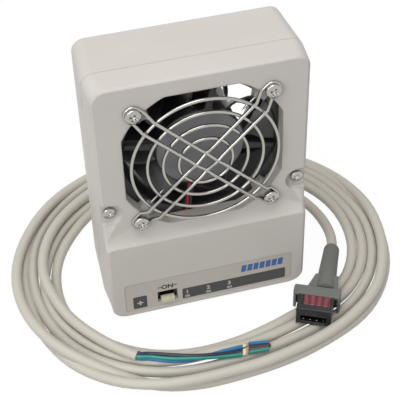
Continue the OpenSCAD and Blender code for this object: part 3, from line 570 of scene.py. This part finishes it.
smooth_copy("front_cover", case_abs, angle=14)
smooth_copy("rear_cover", case_abs, angle=14)
smooth_copy("fan_frame", fan_pbt, angle=35)
smooth_copy("motor_mount", fan_pbt, angle=35)
smooth_copy("fan_rotor", blade_pbt, "rotor", angle=35)
smooth_copy("guard_screws", nickel, angle=35)
smooth_copy("case_screws", nickel, angle=35)
smooth_copy("needle_holders", holder_pc, bevel_mm=0.2)
plug = smooth_copy("plug_body", plug_nylon, angle=35, bevel_mm=0.25)

# %% [markdown]
# The switch's knob is one moulding, drawn ivory only over its front 2.4 mm. Behind that its faces are
# painted black, as the shade deep in the switch's slot. The copy is cut across with a plane there, and
# the faces behind the cut take the second material.

# %% Switch knob
# where the ivory ends and the painted shade of the slot begins, from the fan face
KNOB_SHADE_CUT = -1.3  # where ivory ends, from the fan face
knob = smooth_copy("switch_knob", knob_acetal, "knob", bevel_mm=0.2)
# second slot: black nylon, which paints the shade in the slot behind the knob's ivory front
knob.data.materials.append(plug_nylon)
bm = bmesh.new()
bm.from_mesh(knob.data)
cut = place(0, KNOB_SHADE_CUT, 0)
bmesh.ops.bisect_plane(bm, geom=bm.verts[:] + bm.edges[:] + bm.faces[:], dist=0.01 * MM, plane_co=cut,
                       plane_no=(0, 1, 0))
for face in bm.faces:
    if face.calc_center_median().y > cut.y + 0.05 * MM:
        face.material_index = 1
print("knob faces:", len(bm.faces), "of them black:", sum(f.material_index for f in bm.faces))
bm.to_mesh(knob.data)
bm.free()

# %% [markdown]
# The boot keeps the cord from kinking at the plug. It is a round rubber moulding, a little
# thicker at the plug, and it ends in a soft lip that hugs the cable. One half outline,
# spun once round the boot's axis, gives that shape in a single step.

# %% Boot
outline = [(3.6, -8.0), (3.75, 0.0), (3.65, 5.0), (3.5, 10.0), (3.35, 15.0), (3.2, 20.8)]
outline += [(1.9 + 1.3 * cos(k * pi / 12), 20.9 + 1.6 * sin(k * pi / 12)) for k in range(1, 7)]
bm = bmesh.new()
ring = [bm.verts.new((r * MM, 0, s * MM)) for r, s in outline]
edges = [bm.edges.new(pair) for pair in zip(ring, ring[1:])]
bmesh.ops.spin(bm, geom=ring + edges, cent=(0, 0, 0), axis=(0, 0, 1), angle=2 * pi, steps=32,
               use_merge=True)
bmesh.ops.holes_fill(bm, edges=[e for e in bm.edges if e.is_boundary])
bmesh.ops.recalc_face_normals(bm, faces=bm.faces)
bmesh.ops.transform(bm, verts=bm.verts,
                    matrix=Matrix.Translation(boot_root) @ lay_along(boot_tip - boot_root))
boot_mesh = to_mesh(bm, "boot", boot_pvc)
boot_mesh.shade_smooth()
boot_mesh.set_sharp_from_angle(angle=radians(40))
boot = put("boot_finished", boot_mesh)
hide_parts("plug_boot")
print("boot:", len(boot_mesh.polygons), "faces,", round((boot_tip - boot_root).length / MM, 1), "mm long")

# %% [markdown]
# The boot runs on into the hood, and the neck round it leans with it. The copy of the hood is
# sheared for that: the points of the neck move across, those at its back the most, and the
# neck gets a little lower and wider, so that the boot stands out of it.

# %% Hood
PLUG_AT, PLUG_TURN = place(43.1, -11.65, 8.9), radians(243)
NECK_LENGTH, NECK_HALF_W, NECK_HALF_H = 8.4 * MM, 5.9 * MM, 3.9 * MM
plug_ahead = Vector((cos(PLUG_TURN), sin(PLUG_TURN), 0))
plug_across = Vector((-sin(PLUG_TURN), cos(PLUG_TURN), 0))
hood = smooth_copy("plug_hood", boot_pvc, angle=35, bevel_mm=0.35)
moved = 0
for vertex in hood.data.vertices:
    local = vertex.co - PLUG_AT
    back = 1 - local.dot(plug_ahead) / NECK_LENGTH
    aside = local.dot(plug_across)
    if back > -0.03 and abs(aside) < NECK_HALF_W and abs(local.z) < NECK_HALF_H:
        vertex.co += plug_across * (1.5 * MM + back * MM + aside * 0.12)
        vertex.co.z -= local.z * 0.22
        moved += 1
print("hood:", moved, "points of the neck moved")

# %% [markdown]
# The contacts are four small springs in the slot, of which only the tips catch the light. The
# whole spring could be bent from strip, but nothing behind the tip shows, so a short tapered
# rod stands for each.

# %% Contact springs
SPRING_PITCH, SPRING_LENGTH = 2.6 * MM, 4 * MM
bm = bmesh.new()
for k in (-1.5, -0.5, 0.5, 1.5):
    middle = PLUG_AT + plug_ahead * 18.9 * MM + plug_across * k * SPRING_PITCH - Vector((0, 0, 1.4 * MM))
    bmesh.ops.create_cone(bm, cap_ends=True, segments=12, radius1=0.3 * MM, radius2=0.22 * MM,
                          depth=SPRING_LENGTH, matrix=Matrix.Translation(middle) @ lay_along(plug_ahead))
pins = put("contact_springs", to_mesh(bm, "contact_springs", steel))
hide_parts("plug_contacts")
print("springs:", len(pins.data.polygons), "faces")

# %% [markdown]
# The little lid on the plug is clear red acrylic. Light goes through it and shows the ribs below, so it
# has some transmission. The bright streaks of light on those ribs are painted highlights: a wave of
# lighter red bands 1.3 mm apart in its colour.

# %% Red lid
lid_acrylic, tree, shader, here = new_finish("acrylic_clear_red")
RIB_HIGHLIGHT_MM = 1.3
squared = add(tree, "Mapping", {"Vector": here, "Rotation": (0, 0, -PLUG_TURN)})
# painted highlights: lighter and darker red bands in the lid's colour stand for the light caught by its
# ribs
rib_highlights = add(tree, "TexWave", {"Vector": squared.outputs["Vector"], "Scale": 1 / (2 * pi * RIB_HIGHLIGHT_MM * MM),
                             "Distortion": 3.0, "Detail": 3.0}, bands_direction="Y")
join(tree, shader, Base_Color=blend(tree, rib_highlights.outputs["Fac"], linear("#5e1220"), linear("#9a4351")))
shader.inputs["Roughness"].default_value = 0.15
shader.inputs["IOR"].default_value = 1.49
shader.inputs["Transmission Weight"].default_value = 0.25
lid = smooth_copy("plug_cover", lid_acrylic, angle=35, bevel_mm=0.2)
print("made", lid.name, "with ribs", RIB_HIGHLIGHT_MM, "mm apart")

# %% [markdown]

# %% [markdown]
# The overlay is a printed film: a dark square with a light cross, a dark strip with three
# clear windows for the lights, and a row of slanted blue blocks. The ink could be painted by a
# pattern, but small flat plates 0.03 mm thick stay sharp at any distance. Each starts as one
# flat face, its corners are bevelled round, and an extrusion makes it solid.


# %% Printed fields
def ink(name, colour, roughness=0.35):
    material, tree, shader, here = new_finish(name)
    dots = add(tree, "TexNoise", {"Vector": here, "Scale": 1 / (0.5 * MM), "Detail": 1.0})
    thin = tuple(min(1, v * 1.12 + 0.004) for v in linear(colour)[:3]) + (1,)
    join(tree, shader, Base_Color=blend(tree, dots.outputs["Fac"], linear(colour), thin))
    shader.inputs["Roughness"].default_value = roughness
    return material


dark_ink = ink("screen_ink_dark_grey", "#30302f")
blue_ink = ink("screen_ink_blue", "#235f9e")
light_ink = ink("screen_ink_light_grey", "#b9b6ac")
clear_window = ink("clear_window", "#9aa39a", 0.12)
PRINT_FRONT, LAYER, THICK = -2.5, 0.04, 0.03
LIGHT_X = (-9.1, -0.5, 8.1)


def printed(name, material, plates, layer):
    """Flat plates on the film: (x from, x to, z from, z to, corner, lean) in millimetres."""
    bm = bmesh.new()
    for x0, x1, z0, z1, corner, lean in plates:
        lift = PRINT_FRONT - LAYER * layer
        corners = [bm.verts.new(place(x + lean * (z - z0), lift, z))
                   for x, z in ((x0, z0), (x1, z0), (x1, z1), (x0, z1))]
        bm.faces.new(corners)
        if corner:
            bmesh.ops.bevel(bm, geom=corners, offset=corner * MM, segments=4, profile=0.5,
                            affect="VERTICES", material=-1)
    bmesh.ops.recalc_face_normals(bm, faces=bm.faces)
    for face in bm.faces:
        if face.normal.y > 0:
            face.normal_flip()
    raised = bmesh.ops.extrude_face_region(bm, geom=list(bm.faces))
    bmesh.ops.translate(bm, vec=(0, -THICK * MM, 0),
                        verts=[v for v in raised["geom"] if isinstance(v, bmesh.types.BMVert)])
    bmesh.ops.recalc_face_normals(bm, faces=bm.faces)
    return put(name, to_mesh(bm, name, material))


printed("print_dark", dark_ink, [(-30.9, -25.4, 4.0, 10.5, 0.4, 0), (-11.1, 31.3, 4.2, 9.8, 0.5, 0)], 0)
blocks = [(x, x + 2, 12.1, 15.7, 0.2, 0.12) for x in [12.9 + 2.5 * k for k in range(7)]]
printed("print_blue", blue_ink, blocks, 0)
printed("print_windows", clear_window, [(x - 1, x + 1, 4.75, 5.95, 0.15, 0) for x in LIGHT_X], 1)
cross = [(-29.4, -26.9, 6.6, 7.2, 0, 0), (-28.5, -27.8, 7.2, 8.1, 0, 0), (-28.5, -27.8, 5.7, 6.6, 0, 0)]
printed("print_light", light_ink, cross, 1)
printed("print_bars", dark_ink, [(-20.9, -19.4, 12.9, 13.3, 0, 0), (-14.6, -13.1, 12.9, 13.3, 0, 0)], 0)

# %% [markdown]
# Over the switch stands the word for its upper stop, between two short bars, and each light
# has a plain number. Letters are a text object first. They get a little offset, which makes
# the strokes bolder, and become a mesh before they are set upright in their place.


# %% Letters and numbers
BOLD = 0.12


def word(name, text, x, z, size_mm, material):
    """Bold letters, made a mesh; light ones lie on top of a dark field."""
    data = bpy.data.curves.new(name, "FONT")
    data.body, data.size, data.extrude, data.align_x = text, size_mm * MM, 0.02 * MM, "CENTER"
    data.offset = BOLD * MM
    letters = link(name, data)
    letters.rotation_euler = (pi / 2, 0, 0)
    letters.location = place(x, PRINT_FRONT - (0.08 if material == light_ink else 0.03), z)
    bpy.context.view_layer.update()
    mesh = bpy.data.meshes.new_from_object(letters.evaluated_get(bpy.context.evaluated_depsgraph_get()))
    mesh.transform(letters.matrix_world)
    bpy.data.objects.remove(letters)
    mesh.materials.clear()
    mesh.materials.append(material)
    return put(name, mesh)


word("word_on", "ON", -17, 12.1, 3.0, dark_ink)
for number, x in zip("123", LIGHT_X):
    word("word_light_" + number, number, x, 6.9, 2.6, light_ink)

# %% [markdown]
# The parts inside show through the grille and the guard, so each gets its own finish too. A
# solid whose shape is right is kept as it is, and only its material slots are filled.

# %% Finishes of the kept solids
board = moulded("glass_epoxy_green", "#23603a", "#2b6b42", 0.35, 0.6, 0.06, 0.05, 1.55)
label_film = moulded("printed_label_silver", "#77777a", "#808083", 0.3, 0.4, 0.02, 0.02)
kept = {
    "fan_shaft": steel, "rotor_magnet": ferrite, "stator_core": lamination, "stator_coils": copper,
    "motor_board": board, "shaft_bearings": steel, "motor_label": label_film,
    "fan_lead_red": soft_pvc("pvc_lead_red", "#a81c28", "#b42a34", 0.4),
    "fan_lead_black": soft_pvc("pvc_lead_black", "#161616", "#1f1f1f", 0.4),
    "guard_nuts": steel, "emitter_needles": needle_steel, "control_board": board,
    "high_voltage_module": potting_epoxy,
    "high_voltage_leads": soft_pvc("silicone_lead_cream", "#cfcab9", "#d6d1c1", 0.5),
    "switch_body": plug_nylon, "switch_contacts": brass,
    "indicator_lights": moulded("acrylic_light_guide", "#cfd8c8", "#d7dfd0", 0.2, 0.3, 0.01, 0.1, 1.49),
    "power_socket": socket_nylon, "socket_pins": brass,
    "filter_capacitor": moulded("pet_sleeve_navy", "#222a44", "#2a3350", 0.25, 0.5, 0.02, 0.4),
    "panel_overlay": film,
}
for name, material in kept.items():
    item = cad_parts[name]
    if not item.material_slots:
        item.data.materials.append(material)
    for slot in item.material_slots:
        slot.material = material
print("finishes on kept solids:", len(kept))

# %% [markdown]
# The blower stands on pure white. The floor is a real surface that takes the shadow and throws
# some light up under the coil, and to the eye, straight or by way of metal and glass, it also
# glows, so that it reads as paper white. A Light Path node tells those looks from the light
# that falls on things.


# %% Floor
def looked_at(tree):
    """1 for what is seen directly, in a mirror or through glass, 0 for light on its way."""
    ray = add(tree, "LightPath").outputs
    seen = add(tree, "Math", {0: ray["Is Camera Ray"], 1: ray["Is Glossy Ray"]}, operation="MAXIMUM")
    seen = add(tree, "Math", {0: seen.outputs[0], 1: ray["Is Transmission Ray"]}, operation="MAXIMUM")
    return seen.outputs[0]


floor_paper, tree, shader = new_finish("white_paper")[:3]
glow = add(tree, "Math", {0: looked_at(tree), 1: 0.88}, operation="MULTIPLY")
shader.inputs["Base Color"].default_value = (0.5, 0.5, 0.5, 1)
shader.inputs["Roughness"].default_value = 0.9
shader.inputs["Specular IOR Level"].default_value = 0.0
light_up = add(tree, "Emission", {"Color": (1, 1, 1, 1), "Strength": 1.08})
mixed = add(tree, "MixShader", {0: glow.outputs[0], 1: shader.outputs[0], 2: light_up.outputs[0]})
tree.links.new(mixed.outputs[0], tree.nodes["Material Output"].inputs["Surface"])

bm = bmesh.new()
bmesh.ops.create_grid(bm, x_segments=1, y_segments=1, size=3.0)
floor = link("floor", to_mesh(bm, "floor", floor_paper))
floor.location.z = -0.05 * MM  # just below the table's plane, so that the two never flicker
print("floor:", round(floor.dimensions.x, 1), "m square")

# %% [markdown]
# The sky is white to look at and less than half as bright as light, which keeps the gaps
# between the strands dark. Two broad round lamps do the rest: one overhead lights the top and
# the ledge, and a weaker one from the left lights the front and the left side.


# %% Sky and lamps
world = bpy.data.worlds.new("soft_sky")
bpy.context.scene.world = world
world.use_nodes = True
tree = world.node_tree
strength = add(tree, "MapRange", {"Value": looked_at(tree), "To Min": 0.45, "To Max": 1.0})
tree.nodes["Background"].inputs["Color"].default_value = (1, 1, 1, 1)
tree.links.new(strength.outputs["Result"], tree.nodes["Background"].inputs["Strength"])


def lamp(name, place_m, aim_m, size, watts):
    data = bpy.data.lights.new(name, "AREA")
    data.shape, data.size, data.energy = "DISK", size, watts
    item = link(name, data)
    item.location = place_m
    item.rotation_euler = (Vector(aim_m) - Vector(place_m)).to_track_quat("-Z", "Y").to_euler()


lamp("overhead", (-0.15, -0.15, 1.0), (0, 0, 0), 0.7, 4.7)
lamp("front_fill", (-0.75, -0.75, 0.6), (0, 0, 0.05), 0.8, 4.6)
bpy.context.scene.view_settings.view_transform = "Standard"
